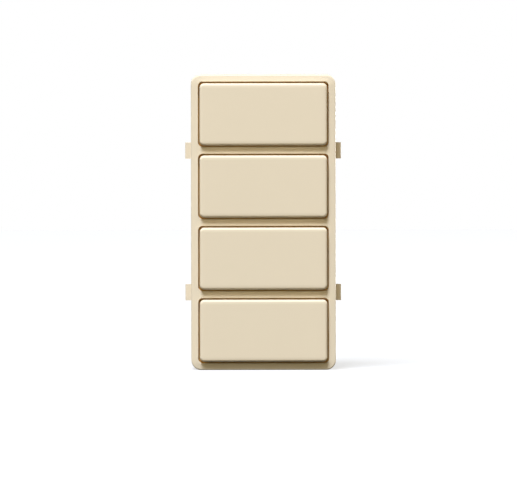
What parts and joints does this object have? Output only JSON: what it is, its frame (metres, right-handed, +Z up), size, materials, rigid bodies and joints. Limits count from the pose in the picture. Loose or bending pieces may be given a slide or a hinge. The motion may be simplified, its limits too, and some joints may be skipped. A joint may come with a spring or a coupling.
{
  "type": "push-button wall keypad",
  "caption": "Ivory wall keypad insert with a column of wide push buttons in a rounded frame, snap hooks at its sides and a coin-cell battery cap at its back.",
  "frame": {"origin": "centre of the flat rear face", "axes": "+Z up along the column of buttons, +X to the right seen from the front, +Y out of the rear face"},
  "size_m": [0.0352, 0.0143, 0.0666],
  "materials": {
    "ivory_plastic": "fine moulded satin",
    "button_plastic": "fine moulded satin",
    "chassis_plastic": "plain moulded",
    "rear_plastic": "spark-eroded moulded grain",
    "solder_mask": "green solder mask",
    "radio_mask": "blue solder mask",
    "tinned_steel": "tinned sheet",
    "contact_metal": "nickel plated spring strip",
    "cell_steel": "drawn stainless can",
    "screw_steel": "zinc plated",
    "switch_plastic": "glass-filled moulded",
    "plunger_plastic": "plain moulded",
    "chip_ceramic": "fired ceramic"
  },
  "bodies": {
    "housing": {"bezel": "ivory_plastic", "cell_clip": "contact_metal", "cell_spring": "contact_metal", "chassis": "chassis_plastic", "chip_parts": "chip_ceramic", "circuit_board": "solder_mask", "coin_cell": "cell_steel", "cover_screws": "screw_steel", "radio_board": "radio_mask", "radio_shield": "tinned_steel", "rear_cover": "rear_plastic", "switch_base_1": "switch_plastic", "switch_base_2": "switch_plastic", "switch_base_3": "switch_plastic", "switch_base_4": "switch_plastic", "switch_cover_1": "tinned_steel", "switch_cover_2": "tinned_steel", "switch_cover_3": "tinned_steel", "switch_cover_4": "tinned_steel"},
    "button_1": {"button_1": "button_plastic"},
    "button_2": {"button_2": "button_plastic"},
    "button_3": {"button_3": "button_plastic"},
    "button_4": {"button_4": "button_plastic"},
    "plunger_1": {"switch_plunger_1": "plunger_plastic"},
    "plunger_2": {"switch_plunger_2": "plunger_plastic"},
    "plunger_3": {"switch_plunger_3": "plunger_plastic"},
    "plunger_4": {"switch_plunger_4": "plunger_plastic"},
    "battery_cap": {"battery_cap": "rear_plastic"}
  },
  "joints": [
    {"name": "button_1_press", "type": "slide", "parent": "housing", "child": "button_1", "axis": [0, 1, 0], "range_m": [0, 0.0006], "stiffness_N_per_m": 1500, "springref_m": -0.0005},
    {"name": "button_2_press", "type": "slide", "parent": "housing", "child": "button_2", "axis": [0, 1, 0], "range_m": [0, 0.0006], "stiffness_N_per_m": 1500, "springref_m": -0.0005},
    {"name": "button_3_press", "type": "slide", "parent": "housing", "child": "button_3", "axis": [0, 1, 0], "range_m": [0, 0.0006], "stiffness_N_per_m": 1500, "springref_m": -0.0005},
    {"name": "button_4_press", "type": "slide", "parent": "housing", "child": "button_4", "axis": [0, 1, 0], "range_m": [0, 0.0006], "stiffness_N_per_m": 1500, "springref_m": -0.0005},
    {"name": "plunger_1_press", "type": "slide", "parent": "housing", "child": "plunger_1", "axis": [0, 1, 0], "range_m": [0, 0.0006]},
    {"name": "plunger_2_press", "type": "slide", "parent": "housing", "child": "plunger_2", "axis": [0, 1, 0], "range_m": [0, 0.0006]},
    {"name": "plunger_3_press", "type": "slide", "parent": "housing", "child": "plunger_3", "axis": [0, 1, 0], "range_m": [0, 0.0006]},
    {"name": "plunger_4_press", "type": "slide", "parent": "housing", "child": "plunger_4", "axis": [0, 1, 0], "range_m": [0, 0.0006]},
    {"name": "battery_cap_turn", "type": "hinge", "parent": "housing", "child": "battery_cap", "pos_m": [0, 0, -0.01415], "axis": [0, 1, 0], "range_deg": [0, 45]}
  ],
  "couplings": [
    {"joint": "plunger_1_press", "follows": "button_1_press", "ratio": 1},
    {"joint": "plunger_2_press", "follows": "button_2_press", "ratio": 1},
    {"joint": "plunger_3_press", "follows": "button_3_press", "ratio": 1},
    {"joint": "plunger_4_press", "follows": "button_4_press", "ratio": 1}
  ]
}
